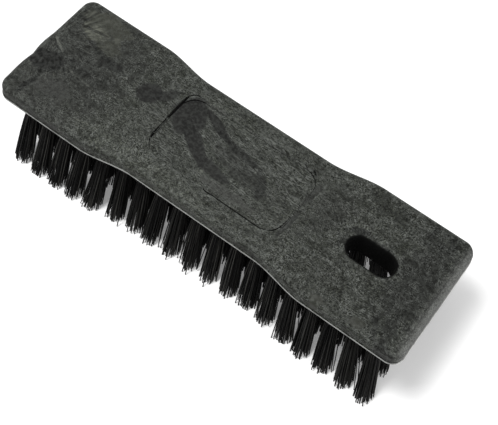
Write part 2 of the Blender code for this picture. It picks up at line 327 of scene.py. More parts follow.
class BrushBlock(bpy.types.PropertyGroup):
    length: FloatProperty(
        name="Length", description="Length of the block", unit="LENGTH", default=block_high.x - block_low.x)
    width: FloatProperty(
        name="Width", description="Width of the block at its two ends", unit="LENGTH",
        default=block_high.y - block_low.y)
    top: FloatProperty(
        name="Top height", description="Height of the flat top above the bristle tips", unit="LENGTH",
        default=block_high.z)
    underside: FloatProperty(
        name="Underside height", description="Height of the underside above the bristle tips", unit="LENGTH",
        default=block_low.z)
    waist_depth: FloatProperty(
        name="Waist depth", description="How far each side is drawn in at the waist", unit="LENGTH",
        default=0.004)
    waist_length: FloatProperty(
        name="Waist length", description="Length of the straight part of the waist", unit="LENGTH",
        default=0.0656)
    shoulder_length: FloatProperty(
        name="Shoulder length", description="Length of the curve from the waist to full width", unit="LENGTH",
        default=0.028)
    corner_radius: FloatProperty(
        name="Corner radius", description="Radius of the four corners seen from above", unit="LENGTH",
        default=0.0062)
    top_edge_radius: FloatProperty(
        name="Top edge radius", description="Radius of the rounded edge round the top", unit="LENGTH",
        default=0.0033)
    parting_depth: FloatProperty(
        name="Parting depth", description="Depth of the parting line below the top", unit="LENGTH",
        default=0.0075)
    parting_height: FloatProperty(
        name="Parting line height", description="Height of the thin raised line where the mould halves met",
        unit="LENGTH", default=0.0009)
    parting_step: FloatProperty(
        name="Parting line step", description="How far the parting line stands proud", unit="LENGTH",
        default=0.00035)
    upper_draft: FloatProperty(
        name="Upper draft", description="How far the side above the parting line leans in", unit="LENGTH",
        default=0.0004)
    lower_taper: FloatProperty(
        name="Lower taper", description="How far the side below the parting line leans in", unit="LENGTH",
        default=0.0037)
    lower_edge_radius: FloatProperty(
        name="Lower edge radius", description="Radius of the edge round the underside", unit="LENGTH",
        default=0.0006)


class BrushRecesses(bpy.types.PropertyGroup):
    panel_length: FloatProperty(
        name="Panel length", description="Length of the recessed panel", unit="LENGTH", default=0.072)
    panel_width: FloatProperty(
        name="Panel width", description="Width of the recessed panel", unit="LENGTH", default=0.036)
    panel_corner: FloatProperty(
        name="Panel corner radius", description="Radius of the panel's corners", unit="LENGTH", default=0.008)
    panel_depth: FloatProperty(
        name="Panel depth", description="Depth of the recessed panel", unit="LENGTH", default=0.0009)
    panel_rim: FloatProperty(
        name="Panel rim radius", description="Radius of the panel's upper edge and of its floor's edge",
        unit="LENGTH", default=0.0004)
    slot_length: FloatProperty(
        name="Slot length", description="Length of the hang slot", unit="LENGTH", default=0.023)
    slot_width: FloatProperty(
        name="Slot width", description="Width of the hang slot", unit="LENGTH", default=0.011)
    slot_end_distance: FloatProperty(
        name="Slot end distance", description="From the end of the block to the middle of the slot",
        unit="LENGTH", default=0.035)
    slot_rim: FloatProperty(
        name="Slot rim radius", description="Radius of the slot's rim", unit="LENGTH", default=0.0018)
    hole_radius: FloatProperty(
        name="Tuft hole radius", description="Radius of the blind hole of each tuft", unit="LENGTH",
        default=0.0026)
    hole_depth: FloatProperty(
        name="Tuft hole depth", description="Depth of the blind hole of each tuft", unit="LENGTH",
        default=0.008)
    hole_rim: FloatProperty(
        name="Tuft hole rim radius", description="Radius of the rim of each tuft hole", unit="LENGTH",
        default=0.0002)


class BrushTufts(bpy.types.PropertyGroup):
    pitch: FloatProperty(
        name="Tuft pitch", description="Distance between tufts along a row", unit="LENGTH", default=0.0105)
    end_margin: FloatProperty(
        name="End margin", description="From the end of the block to the first tufts", unit="LENGTH",
        default=0.0135)
    side_margin: FloatProperty(
        name="Side margin", description="From the side of the block to the outer rows", unit="LENGTH",
        default=0.0084)
    slot_clearance: FloatProperty(
        name="Slot clearance", description="From the middle line to the tufts beside the slot", unit="LENGTH",
        default=0.0104)
    side_lean: FloatProperty(
        name="Side lean", description="How far the outer rows lean outwards", unit="ROTATION",
        default=radians(14.0))
    end_lean: FloatProperty(
        name="End lean", description="How far the end tufts lean outwards", unit="ROTATION",
        default=radians(8.0))
    filaments: IntProperty(
        name="Filaments", description="Number of filaments in each tuft", default=80)
    filament_radius: FloatProperty(
        name="Filament radius", description="Radius of one filament", unit="LENGTH", default=0.00028)
    root_radius: FloatProperty(
        name="Root radius", description="Radius of a tuft where it leaves its hole", unit="LENGTH",
        default=0.0023)
    tip_radius: FloatProperty(
        name="Tip radius", description="Radius of a tuft at its tips", unit="LENGTH", default=0.0049)
    tip_spread: FloatProperty(
        name="Tip unevenness", description="How much shorter than the longest the other filaments are",
        unit="LENGTH", default=0.0018)


class BrushColours(bpy.types.PropertyGroup):
    plastic: FloatVectorProperty(
        name="Plastic", description="Colour of the dark moulded foam plastic", subtype="COLOR",
        default=(0.0185, 0.0199, 0.0163))
    # Also the colour of the far rim's painted highlight
    streak: FloatVectorProperty(
        name="Streaks", description="Colour of the pale swirls and specks in the plastic", subtype="COLOR",
        default=(0.212, 0.224, 0.208))
    # Also the colour of the right end's painted sheen; on the parting line it gives scuffing with a painted highlight
    seam: FloatVectorProperty(
        name="Parting line", description="Colour of the scuffed parting line round the side", subtype="COLOR",
        default=(0.36, 0.363, 0.352))
    skin: FloatVectorProperty(
        name="Smooth skin", description="Colour of the darker patches where the skin is smooth",
        subtype="COLOR", default=(0.0175, 0.0176, 0.0166))
    olive: FloatVectorProperty(
        name="Olive skin", description="Colour of the paler patches where the skin is smooth", subtype="COLOR",
        default=(0.0218, 0.0226, 0.0186))
    # Also the colour of the painted shade in the slot and creases
    bristle: FloatVectorProperty(
        name="Bristles", description="Colour of the bristles", subtype="COLOR",
        default=(0.0012, 0.0012, 0.0012))
    # The palest bristles stand for painted glints on the filaments
    bristle_light: FloatVectorProperty(
        name="Lighter bristles", description="Colour of the palest bristles and of worn tips", subtype="COLOR",
        default=(0.048, 0.047, 0.043))
    floor: FloatVectorProperty(
        name="Floor", description="Colour of the floor", subtype="COLOR", default=(0.88, 0.88, 0.88))


# Modelling, as it is done by hand

def deselect_everything():
    if bpy.context.mode != "OBJECT":
        bpy.ops.object.mode_set(mode="OBJECT")
    bpy.ops.object.select_all(action="DESELECT")


def make_active(piece):
    deselect_everything()
    piece.select_set(True)
    bpy.context.view_layer.objects.active = piece


def settle():
    """Leaves the active object at the origin, unturned and unscaled, with its place in its mesh."""
    bpy.ops.object.transform_apply(location=True, rotation=True, scale=True)


def edit(piece, kind="FACE"):
    make_active(piece)
    bpy.ops.object.mode_set(mode="EDIT")
    bpy.ops.mesh.select_mode(type=kind)
    bpy.ops.mesh.select_all(action="DESELECT")


def edit_all(piece):
    """Starts editing a piece with all of its vertices selected."""
    edit(piece, "VERT")
    bpy.ops.mesh.select_all(action="SELECT")


def stop_editing():
    bpy.ops.object.mode_set(mode="OBJECT")


def pick(piece, kind, test):
    """Selects the faces, edges or vertices of the piece in edit mode that pass a test of their place."""
    shape = bmesh.from_edit_mesh(piece.data)
    bpy.ops.mesh.select_all(action="DESELECT")
    elements = {"FACE": shape.faces, "EDGE": shape.edges, "VERT": shape.verts}[kind]
    elements.ensure_lookup_table()
    count = 0
    for element in elements:
        if test(element):
            element.select_set(True)
            count += 1
    shape.select_flush_mode()
    bmesh.update_edit_mesh(piece.data)
    if not count:
        raise RuntimeError(f"nothing to select on {piece.name}")


def add_plate(name, length, width, low, high):
    deselect_everything()
    bpy.ops.mesh.primitive_cube_add(size=1, location=(0, 0, (low + high) / 2), scale=(length, width, high - low))
    plate = bpy.context.active_object
    plate.name = name
    plate.data.name = name
    settle()
    return plate


def round_upright_edges(plate, radius, segments):
    """Rounds the four corners that are seen from above."""
    edit(plate, "EDGE")
    pick(plate, "EDGE", lambda edge: (edge.verts[0].co.xy - edge.verts[1].co.xy).length < same_place
         and len(edge.link_faces) == 2
         and abs(edge.link_faces[0].normal.dot(edge.link_faces[1].normal)) < square_limit)
    bpy.ops.mesh.bevel(offset=radius, segments=segments, profile=0.5, affect="EDGES")
    stop_editing()


def pick_cap(plate, upwards):
    """Selects the level faces at the very top or bottom of a plate."""
    shape = bmesh.from_edit_mesh(plate.data)
    level = max(vert.co.z * upwards for vert in shape.verts)
    pick(plate, "FACE", lambda face: all(vert.co.z * upwards > level - same_place for vert in face.verts))


def quarter_round(radius, segments):
    """The (inwards, outwards) steps of an edge rounded over, from the side to the cap."""
    angles = [pi / 2 * step / segments for step in range(segments + 1)]
    pairs = zip(angles, angles[1:])
    return [(radius * (cos(a) - cos(b)), radius * (sin(b) - sin(a))) for a, b in pairs]


def quarter_hollow(radius, segments):
    """The (inwards, outwards) steps of a cutter that leaves a rounded rim."""
    return [(outwards, inwards) for inwards, outwards in quarter_round(radius, segments)]


def shape_cap(piece, upwards, steps):
    """Insets the level faces at one end of a piece step by step, each time moving them outwards."""
    edit(piece)
    pick_cap(piece, upwards)
    for inwards, outwards in steps:
        bpy.ops.mesh.inset(thickness=inwards, depth=outwards, use_even_offset=True)
    stop_editing()


def remove(piece):
    make_active(piece)
    bpy.ops.object.delete()


def cut_out(piece, cutter):
    """Takes a cutter's shape out of a piece, and removes the cutter."""
    make_active(piece)
    cut = piece.modifiers.new("Cut", "BOOLEAN")
    cut.operation = "DIFFERENCE"
    cut.solver = "EXACT"
    cut.object = cutter
    bpy.ops.object.modifier_apply(modifier=cut.name)
    remove(cutter)


def limited(value):
    return min(max(value, 0.0), 1.0)


def half_width_at(block, x):
    share = limited((abs(x) - block.waist_length / 2) / block.shoulder_length)
    ease = share * share * (3 - 2 * share)
    return block.width / 2 - block.waist_depth * (1 - ease)


def draw_in_waist(plate, block):
    """Cuts the plate across at each station of its shoulders, and narrows it there."""
    steps = [block.shoulder_length * step / shoulder_segments for step in range(shoulder_segments + 1)]
    stations = [side * (block.waist_length / 2 + step) for side in (-1, 1) for step in steps[:-1]]
    edit(plate, "VERT")
    for station in stations:
        bpy.ops.mesh.select_all(action="SELECT")
        bpy.ops.mesh.bisect(plane_co=(station, 0, 0), plane_no=(1, 0, 0))
    for station in stations:
        pick(plate, "VERT", lambda vert: abs(vert.co.x - station) < same_place)
        share = 2 * half_width_at(block, station) / block.width
        bpy.ops.transform.resize(value=(1, share, 1), center_override=(station, 0, 0))
    stop_editing()


def grid_level(plate, length, width, level):
    """Divides the faces at one level evenly, so that they can be bent or creased a little."""
    columns = int(length / top_grid / 2)
    rows = int(width / top_grid / 2)
    cuts = [((top_grid * step, 0, 0), (1, 0, 0)) for step in range(-columns, columns + 1)]
    cuts += [((0, top_grid * step, 0), (0, 1, 0)) for step in range(-rows, rows + 1)]
    edit(plate)
    for place, normal in cuts:
        pick(plate, "FACE", lambda face: all(abs(vert.co.z - level) < same_place for vert in face.verts))
        bpy.ops.mesh.bisect(plane_co=place, plane_no=normal)
    stop_editing()


def grid_left_end(plate, block):
    """Divides the left end above its parting line, so that its outline can waver."""
    inner = -block.length / 2 + block.top_edge_radius * end_inset
    parting = block.top - block.parting_depth
    edit(plate)
    for step in range(-end_steps, end_steps + 1):
        pick(plate, "FACE", lambda face: face.calc_center_median().x < inner
             and face.calc_center_median().z > parting)
        bpy.ops.mesh.bisect(plane_co=(0, top_grid * step, 0), plane_no=(0, 1, 0))
    stop_editing()


def sink(plate, start, finish, shift, reach):
    """Draws the surface in softly along a short line, as the plastic shrinks."""
    start = Vector(start) * mm
    line = Vector(finish) * mm - start
    edit(plate, "VERT")
    shape = bmesh.from_edit_mesh(plate.data)

    def away(vert):
        share = limited((vert.co - start).dot(line) / line.length_squared)
        return (vert.co - start - line * share).length

    limit = max(min(away(vert) for vert in shape.verts) + same_place, top_grid * grab_share)
    pick(plate, "VERT", lambda vert: away(vert) < limit)
    bpy.ops.transform.translate(value=Vector(shift) * mm, use_proportional_edit=True,
                                proportional_edit_falloff="SMOOTH", proportional_size=reach * mm)
    stop_editing()


def ripple_top(plate, block):
    """Gives the top the faint unevenness of foamed plastic."""
    make_active(plate)
    bpy.ops.object.vertex_group_add()
    group = plate.vertex_groups.active
    group.name = "top"
    edit(plate)
    pick(plate, "FACE", lambda face: face.calc_center_median().z > block.top - ripple_reach)
    bpy.ops.mesh.select_less()
    bpy.ops.object.vertex_group_assign()
    stop_editing()
    texture = bpy.data.textures.new("Foam ripple", "CLOUDS")
    texture.noise_scale = ripple_size
    ripple = plate.modifiers.new("Ripple", "DISPLACE")
    ripple.texture = texture
    ripple.texture_coords = "LOCAL"
    ripple.vertex_group = group.name
    ripple.direction = "Z"
    ripple.strength = ripple_height
    bpy.ops.object.modifier_apply(modifier=ripple.name)


def panel_cutter(block, recess):
    rim = recess.panel_rim
    length = recess.panel_length + 2 * rim
    width = recess.panel_width + 2 * rim
    cutter = add_plate("panel_cutter", length, width, block.top, block.top + cutter_overrun)
    round_upright_edges(cutter, recess.panel_corner + rim, corner_segments)
    wall = [(0.0, recess.panel_depth - 2 * rim)]
    steps = quarter_hollow(rim, small_segments) + wall + quarter_round(rim, small_segments)
    shape_cap(cutter, -1, steps)
    return cutter


def add_drum(name, sides, radius, middle):
    """A short cylinder on the upright axis, to be drawn out into a cutter."""
    deselect_everything()
    bpy.ops.mesh.primitive_cylinder_add(vertices=sides, radius=radius, depth=cutter_overrun,
                                        location=(0, 0, middle))
    drum = bpy.context.active_object
    drum.name = name
    settle()
    return drum


def slot_cutter(block, recess, upwards):
    """Half of the slot: a round-ended prism from one face of the block to beyond its middle, with a wide mouth."""
    rim = recess.slot_rim
    face = block.top if upwards > 0 else block.underside
    middle = face + upwards * cutter_overrun / 2
    cutter = add_drum("slot_cutter", slot_sides, recess.slot_width / 2 + rim, middle)
    edit_all(cutter)
    bpy.ops.transform.rotate(value=pi / slot_sides, orient_axis="Z", center_override=(0, 0, middle))
    straight = (recess.slot_length - recess.slot_width) / 2
    slot_x = block.length / 2 - recess.slot_end_distance
    for side in (-1, 1):
        pick(cutter, "VERT", lambda vert: vert.co.x * side > 0)
        bpy.ops.transform.translate(value=(side * straight, 0, 0))
    bpy.ops.mesh.select_all(action="SELECT")
    bpy.ops.transform.translate(value=(slot_x, 0, 0))
    stop_editing()
    through = (block.top - block.underside) * slot_cut_share
    shape_cap(cutter, -upwards, quarter_hollow(rim, round_segments) + [(0.0, through)])
    return cutter


def hole_cutter(block, recess, tufts):
    """One drill with a slightly worn mouth and a drill point, copied to the place of every tuft."""
    rim = recess.hole_rim
    drill = add_drum("hole_cutter", hole_sides, recess.hole_radius + rim, -cutter_overrun / 2)
    point = [(recess.hole_radius * drill_point_share, recess.hole_radius / 2)]
    shape_cap(drill, 1, quarter_hollow(rim, small_segments) + [(0.0, recess.hole_depth)] + point)
    copies = []
    for name, x, y, direction in tuft_places(block, tufts):
        make_active(drill)
        bpy.ops.object.duplicate()
        copy = bpy.context.active_object
        tilt = Vector((0, 0, -1)).rotation_difference(direction).to_matrix().to_4x4()
        copy.matrix_world = Matrix.Translation((x, y, block.underside)) @ tilt
        settle()
        copies.append(copy)
    deselect_everything()
    for copy in copies:
        copy.select_set(True)
    bpy.context.view_layer.objects.active = copies[0]
    bpy.ops.object.join()
    joined = bpy.context.active_object
    remove(drill)
    return joined


def new_drawing(name, radius, roundness):
    """Starts a curve that is drawn as a closed round strand."""
    drawing = bpy.data.curves.new(name, "CURVE")
    drawing.dimensions = "3D"
    drawing.bevel_depth = radius
    drawing.bevel_resolution = roundness
    drawing.use_fill_caps = True
    return drawing


def make_mesh(drawing):
    """Places a finished curve in the scene, and makes it a mesh."""
    piece = bpy.data.objects.new(drawing.name, drawing)
    bpy.context.scene.collection.objects.link(piece)
    make_active(piece)
    bpy.ops.object.convert(target="MESH")
    return bpy.context.active_object


def crease_cutter(block, width, depth, points):
    """A thin tapering trench drawn along the top as a curve."""
    drawing = new_drawing("crease_cutter", width * mm, 1)
    spline = drawing.splines.new("BEZIER")
    spline.resolution_u = crease_steps
    spline.bezier_points.add(len(points) - 1)
    for point, (x, y, share) in zip(spline.bezier_points, points):
        point.co = (x * mm, y * mm, block.top)
        point.handle_left_type = "AUTO"
        point.handle_right_type = "AUTO"
        point.radius = share
    cutter = make_mesh(drawing)
    edit_all(cutter)
    bpy.ops.mesh.remove_doubles(threshold=nearly_same)
    bpy.ops.transform.resize(value=(1, 1, depth / width), center_override=(0, 0, block.top))
    bpy.ops.mesh.normals_make_consistent(inside=False)
    stop_editing()
    return cutter


def keep_layers(piece, layers):
    """Keeps a value for each vertex as an attribute, for each named layer."""
    for name, values in layers.items():
        piece.data.attributes.new(name, "FLOAT", "POINT").data.foreach_set("value", values)


def crease_painted_shade(recess, x, y, depth, normal):
    """How much painted shade darkens a corner of the top in a crease at the panel's edge."""
    on_face = depth < level_margin or abs(depth - recess.panel_depth) < floor_margin
    on_clean_rim = (y > clean_side and abs(x) < clean_far_end) or (y < -clean_side and x < clean_near_end)
    near_panel = (abs(x) < recess.panel_length / 2 + recess_margin
                  and abs(y) < recess.panel_width / 2 + recess_margin)
    cut_in = normal.z < steep_normal or depth > recess.panel_depth + level_margin
    if on_face or on_clean_rim or not near_panel or not cut_in or not crease_start < depth < crease_limit:
        return 0.0
    return limited((depth - crease_start) / crease_fade)


def mark_surface(piece, block, recess):
    """Keeps the worn edges, the parting line's scuffing and painted highlight, the right end's painted sheen, the far
    rim's painted highlight and the painted shade in the slot and creases as attributes for the material.
    """
    layers = {name: [] for name in ("edge_wear", "end_pale", "rim_light", "seam_wear", "recess_dark")}
    parting = block.top - block.parting_depth
    slot_x = block.length / 2 - recess.slot_end_distance
    straight = (recess.slot_length - recess.slot_width) / 2
    for vert in piece.data.vertices:
        x, y, z = vert.co
        normal = vert.normal
        above = z > parting + block.parting_height
        turned = max(1 - abs(normal.z - worn_normal) / worn_width, 0.0)
        layers["edge_wear"].append(turned if above else 0.0)
        # A painted sheen across the right end's rounded edge, less at its corners
        off_side = min(max((block.width / 2 - abs(y)) / end_sheen_band, end_sheen_corner_share), 1.0)
        layers["end_pale"].append(limited((x - block.length / 2 + end_sheen_band) / end_sheen_fade) * off_side)
        # A painted highlight along the far rim of the top
        layers["rim_light"].append(1.0 if above and normal.z < rim_normal and normal.y > rim_side else 0.0)
        # The parting line: scuffing with a painted highlight
        layers["seam_wear"].append(1.0 if abs(z - parting) < block.parting_height * seam_share else 0.0)
        depth = block.top - z
        # Painted shade down the slot's rim and walls, and in the creases at the panel's edge
        outwards = max(abs(x - slot_x) - straight, 0.0)
        in_slot = sqrt(outwards ** 2 + y ** 2) < recess.slot_width / 2 + recess.slot_rim
        slot_painted_shade = limited(depth / (recess.slot_rim * slot_shade_share)) if in_slot else 0.0
        layers["recess_dark"].append(max(slot_painted_shade, crease_painted_shade(recess, x, y, depth, normal)))
    keep_layers(piece, layers)


def smooth_piece(piece):
    """Shades a piece smooth but for its sharp edges, with flat faces kept flat."""
    make_active(piece)
    bpy.ops.object.shade_smooth_by_angle(angle=smooth_angle)
    level = piece.modifiers.new("Level", "WEIGHTED_NORMAL")
    level.keep_sharp = True
    bpy.ops.object.modifier_apply(modifier=level.name)


def clean_piece(piece):
    edit_all(piece)
    bpy.ops.mesh.remove_doubles(threshold=nearly_same)
    bpy.ops.mesh.dissolve_degenerate(threshold=nearly_same)
    stop_editing()


# Tufts

def tuft_places(block, tufts):
    """The strip's name, the place and the direction of every tuft, row by row across each strip."""
    span = block.length - 2 * tufts.end_margin
    strips = round(span / tufts.pitch) + 1
    places = []
    for number in range(strips):
        name = f"tuft_strip_{number + 1:02d}"
        beside_slot = name not in frame["nodes"]
        x = span * number / (strips - 1) - span / 2
        lean_x = tan(tufts.end_lean * 2 * x / span)
        for share in row_shares:
            y = share * (half_width_at(block, x) - tufts.side_margin)
            full_name = name
            if beside_slot:
                if share == 0:
                    continue
                y = copysign(max(abs(y), tufts.slot_clearance), y)
                full_name = name + ("_far" if y > 0 else "_near")
            direction = Vector((lean_x, tan(tufts.side_lean * share), -1)).normalized()
            places.append((full_name, x, y, direction))
    return places


def push_at(x, y):
    """How far a tuft was pushed over along and across the block."""
    total = Vector((0, 0, 0))
    for middle_x, middle_y, reach_x, reach_y, along, across in pushes:
        away = ((x / mm - middle_x) / reach_x) ** 2 + ((y / mm - middle_y) / reach_y) ** 2
        total += Vector((along, across, 0)) * max(1 - away, 0.0)
    return total


def level_vector(turn, length):
    return Vector((cos(turn), sin(turn), 0)) * length


def filament_path(place, direction, root_height, tufts, chance, number):
    """The points of one filament, from inside its hole to its tip, each with its share of the full radius."""
    spread = sqrt((number + 0.5) / tufts.filaments)
    turn = number * golden_turn
    root = level_vector(turn, tufts.root_radius * spread)
    tip_turn = turn + chance.gauss(0, turn_spread)
    reach = spread * chance.uniform(*usual_reach)
    if chance.random() < stray_share:
        reach += chance.uniform(*stray_reach)
    tip = level_vector(tip_turn, tufts.tip_radius * reach)
    bow_turn = chance.uniform(0, 2 * pi)
    bow = level_vector(bow_turn, chance.uniform(0, bow_limit))
    tip_height = tufts.tip_spread * chance.random() ** 2
    length = (root_height - tip_height) / -direction.z
    tip_y = place.y + direction.y * length + tip.y
    tip.y -= copysign(max(abs(tip_y) - stray_limit, 0.0), tip_y)
    points = []
    for share in filament_shares:
        along = max(share, 0.0)
        offset = root.lerp(tip, along ** fan_power) + bow * sin(pi * along)
        thickness = tip_thickness if share == 1 else 1.0
        points.append((place + direction * (length * share) + offset, thickness))
    return points


def draw_tufts(name, places, block, tufts):
    """Draws every filament of a strip's tufts as a thin curve, and makes the curves one mesh."""
    drawing = new_drawing(name, tufts.filament_radius, 0)
    chance = Random(name)
    for x, y, direction in places:
        place = Vector((x, y, block.underside))
        direction = direction + Vector([chance.gauss(0, wobble) for wobble in tuft_wobble] + [0])
        direction = (direction + push_at(x, y)).normalized()
        for number in range(tufts.filaments):
            points = filament_path(place, direction, block.underside, tufts, chance, number)
            spline = drawing.splines.new("POLY")
            spline.points.add(len(points) - 1)
            for point, (where, thickness) in zip(spline.points, points):
                point.co = (*where, 1)
                point.radius = thickness
    piece = make_mesh(drawing)
    bpy.ops.object.shade_smooth()
    mark_strands(piece, len(places) * tufts.filaments, chance)
    return piece


def mark_strands(piece, strands, chance):
    """Keeps a tone for each filament, whose pale strands stand for painted glints, and the share along it as
    attributes that its colour follows.
    """
    corners = len(piece.data.vertices) // strands
    shades = [chance.random() for strand in range(strands)]
    rings = len(filament_shares) - 1
    sides = corners // len(filament_shares)
    along = [min(corner // sides, rings) / rings for corner in range(corners)] * strands
    layers = {"strand_shade": [value for value in shades for corner in range(corners)], "strand_length": along}
    keep_layers(piece, layers)


# Materials

def new_material(name):
    made = bpy.data.materials.new(name)
    made.use_nodes = True
    return made, made.node_tree, made.node_tree.nodes["Principled BSDF"]


def feed(tree, socket, value):
    """Links a socket to another one, or gives it a plain value."""
    if isinstance(value, bpy.types.NodeSocket):
        tree.links.new(value, socket)
    else:
        socket.default_value = value


def node(tree, kind, inputs=None, **settings):
    made = tree.nodes.new(kind)
    for key, value in settings.items():
        setattr(made, key, value)
    for key, value in (inputs or {}).items():
        feed(tree, made.inputs[key], value)
    return made


def maths(tree, operation, first, second=0.0, clamp=False):
    return node(tree, "ShaderNodeMath", {0: first, 1: second}, operation=operation, use_clamp=clamp).outputs[0]


def times(tree, first, second):
    return maths(tree, "MULTIPLY", first, second)


def less(tree, first, second):
    return maths(tree, "SUBTRACT", first, second)


def centred(tree, value, strength):
    """Carries a noise value to about -1 to 1 times a strength."""
    return times(tree, less(tree, value, 0.5), strength)


def total_of(tree, values, operation="ADD"):
    total = values[0]
    for value in values[1:]:
        total = maths(tree, operation, total, value)
    return total


def vector_maths(tree, operation, first, second=(0, 0, 0)):
    made = node(tree, "ShaderNodeVectorMath", {0: first, 1: second}, operation=operation)
    return made.outputs["Value" if operation == "LENGTH" else "Vector"]


def scaled(tree, vector, factor):
    return node(tree, "ShaderNodeVectorMath", {0: vector, "Scale": factor}, operation="SCALE").outputs[0]


def turned_level(tree, vector, angle):
    made = node(tree, "ShaderNodeVectorRotate", {"Vector": vector, "Angle": angle}, rotation_type="Z_AXIS")
    return made.outputs[0]


def noise(tree, vector, scale, detail=2.0, roughness=0.5, distortion=0.0, output="Fac"):
    made = node(tree, "ShaderNodeTexNoise", {"Vector": vector, "Scale": scale, "Detail": detail,
                                             "Roughness": roughness, "Distortion": distortion})
    return made.outputs[output]


def ramp(tree, value, low, high, to_low=0.0, to_high=1.0):
    """Carries a value from one range to another, eased at both ends."""
    made = node(tree, "ShaderNodeMapRange", {"Value": value, "From Min": low, "From Max": high, "To Min": to_low,
                                             "To Max": to_high}, interpolation_type="SMOOTHSTEP")
    return made.outputs["Result"]


def blend_colours(tree, share, first, second):
    made = node(tree, "ShaderNodeMix", {"Factor": share}, data_type="RGBA")
    for socket, value in ((made.inputs[6], first), (made.inputs[7], second)):
        feed(tree, socket, value if isinstance(value, bpy.types.NodeSocket) else (*value, 1.0))
    return made.outputs[2]


def attribute(tree, name):
    return node(tree, "ShaderNodeAttribute", attribute_name=name).outputs["Fac"]


def object_place(tree):
    return node(tree, "ShaderNodeTexCoord").outputs["Object"]


def add_bump(tree, shader, height, strength, distance):
    bump = node(tree, "ShaderNodeBump", {"Height": height, "Strength": strength, "Distance": distance})
    tree.links.new(bump.outputs[0], shader.inputs["Normal"])


def new_group(name, inputs, outputs):
    """Starts a shared effect with its named sockets."""
    tree = bpy.data.node_groups.new(name, "ShaderNodeTree")
    for label, value in inputs.items():
        kind = "NodeSocketVector" if isinstance(value, tuple) else "NodeSocketFloat"
        tree.interface.new_socket(name=label, in_out="INPUT", socket_type=kind).default_value = value
    for label in outputs:
        tree.interface.new_socket(name=label, in_out="OUTPUT", socket_type="NodeSocketFloat")
    return tree, tree.nodes.new("NodeGroupInput").outputs, tree.nodes.new("NodeGroupOutput").inputs


def place_group(tree, name, inputs):
    return node(tree, "ShaderNodeGroup", inputs, node_tree=bpy.data.node_groups[name]).outputs


def make_foam_swirl():
    """Hair-fine pale and dark lines and a fine grain, where the foam was dragged along the mould's wall."""
    inputs = {"Vector": (0, 0, 0), "Wander": 0.006, "Heading": 0.0, "Stretch": (300, 1000, 1000)}
    tree, given, wanted = new_group("Foam swirl", inputs, ("Grain", "Pale", "Dark", "Blotches"))
    drift = vector_maths(tree, "SUBTRACT", noise(tree, given["Vector"], 45.0, output="Color"), (0.5, 0.5, 0.5))
    flow = vector_maths(tree, "ADD", given["Vector"], scaled(tree, drift, given["Wander"]))
    drawn = vector_maths(tree, "MULTIPLY", turned_level(tree, flow, given["Heading"]), given["Stretch"])
    broad = noise(tree, drawn, 0.22, roughness=0.6)
    tree.links.new(noise(tree, drawn, 1.5, detail=1.0, roughness=0.6, distortion=0.5), wanted["Grain"])
    tree.links.new(broad, wanted["Blotches"])
    for label, (apart, low, high) in line_sets.items():
        shifted = vector_maths(tree, "ADD", drawn, apart)
        lines = noise(tree, shifted, 0.90, detail=1.0, roughness=0.45, distortion=0.9)
        lines = ramp(tree, maths(tree, "ABSOLUTE", less(tree, lines, 0.5)), *line_width)
        tree.links.new(times(tree, lines, ramp(tree, broad, low, high)), wanted[label])


def make_flow_fan():
    """Lines that fan out from the gate where the plastic came in, fading with distance."""
    inputs = {"Vector": (0, 0, 0), "Place": (0, 0, 0), "Reach": 0.03}
    tree, given, wanted = new_group("Flow fan", inputs, ("Lines", "Mask"))
    moved = vector_maths(tree, "SUBTRACT", given["Vector"], given["Place"])
    parts = node(tree, "ShaderNodeSeparateXYZ", {0: moved}).outputs
    angle = maths(tree, "ARCTAN2", parts[1], parts[0])
    away = vector_maths(tree, "LENGTH", moved)
    polar = node(tree, "ShaderNodeCombineXYZ", {0: times(tree, angle, 14.0), 1: times(tree, away, 90.0)})
    lines = noise(tree, polar.outputs[0], 1.0, detail=3.0, roughness=0.6, distortion=0.4)
    tree.links.new(lines, wanted["Lines"])
    tree.links.new(ramp(tree, maths(tree, "DIVIDE", away, given["Reach"]), 1.0, 0.55), wanted["Mask"])


def make_soft_patch():
    """A soft-edged oval at a place on the surface, with a ragged outline."""
    inputs = {"Vector": (0, 0, 0), "Place": (0, 0, 0), "Turn": 0.0, "Size": (0.01, 0.01, 0.01), "Raggedness": 0.6,
              "Core": 0.55}
    tree, given, wanted = new_group("Soft patch", inputs, ("Mask",))
    moved = vector_maths(tree, "SUBTRACT", given["Vector"], given["Place"])
    shaped = vector_maths(tree, "DIVIDE", turned_level(tree, moved, given["Turn"]), given["Size"])
    torn = centred(tree, noise(tree, given["Vector"], 220.0, detail=3.0, roughness=0.65), given["Raggedness"])
    away = maths(tree, "ADD", vector_maths(tree, "LENGTH", shaped), times(tree, torn, 3.0))
    tree.links.new(ramp(tree, away, 1.15, given["Core"]), wanted["Mask"])


def make_surface_drift():
    """Slow variation of tone over a surface, with fine mottling on it."""
    tree, given, wanted = new_group("Surface drift", {"Vector": (0, 0, 0), "Size": 60.0}, ("Slow", "Fine"))
    finer = times(tree, given["Size"], 14.0)
    tree.links.new(noise(tree, given["Vector"], given["Size"]), wanted["Slow"])
    tree.links.new(noise(tree, given["Vector"], finer, detail=3.0, roughness=0.6), wanted["Fine"])


def mark_masks(tree, place):
    """The marks' tones, where they are smooth, and where they are both smooth and pale."""
    tones, skins, olives = [], [], []
    for x, y, turn, length, width, tone, smoothness, raggedness in marks:
        mask = place_group(tree, "Soft patch", {
            "Vector": place, "Place": (x * mm, y * mm, block_high.z), "Turn": -turn,
            "Size": (length * mm, width * mm, mark_depth), "Raggedness": raggedness,
            "Core": 0.5 + 0.4 * smoothness})["Mask"]
        tones.append(times(tree, mask, tone))
        if smoothness:
            skins.append(times(tree, mask, smoothness))
        if smoothness > olive_smoothness and tone > 0:
            olives.append(mask)
    return tones, skins, olives


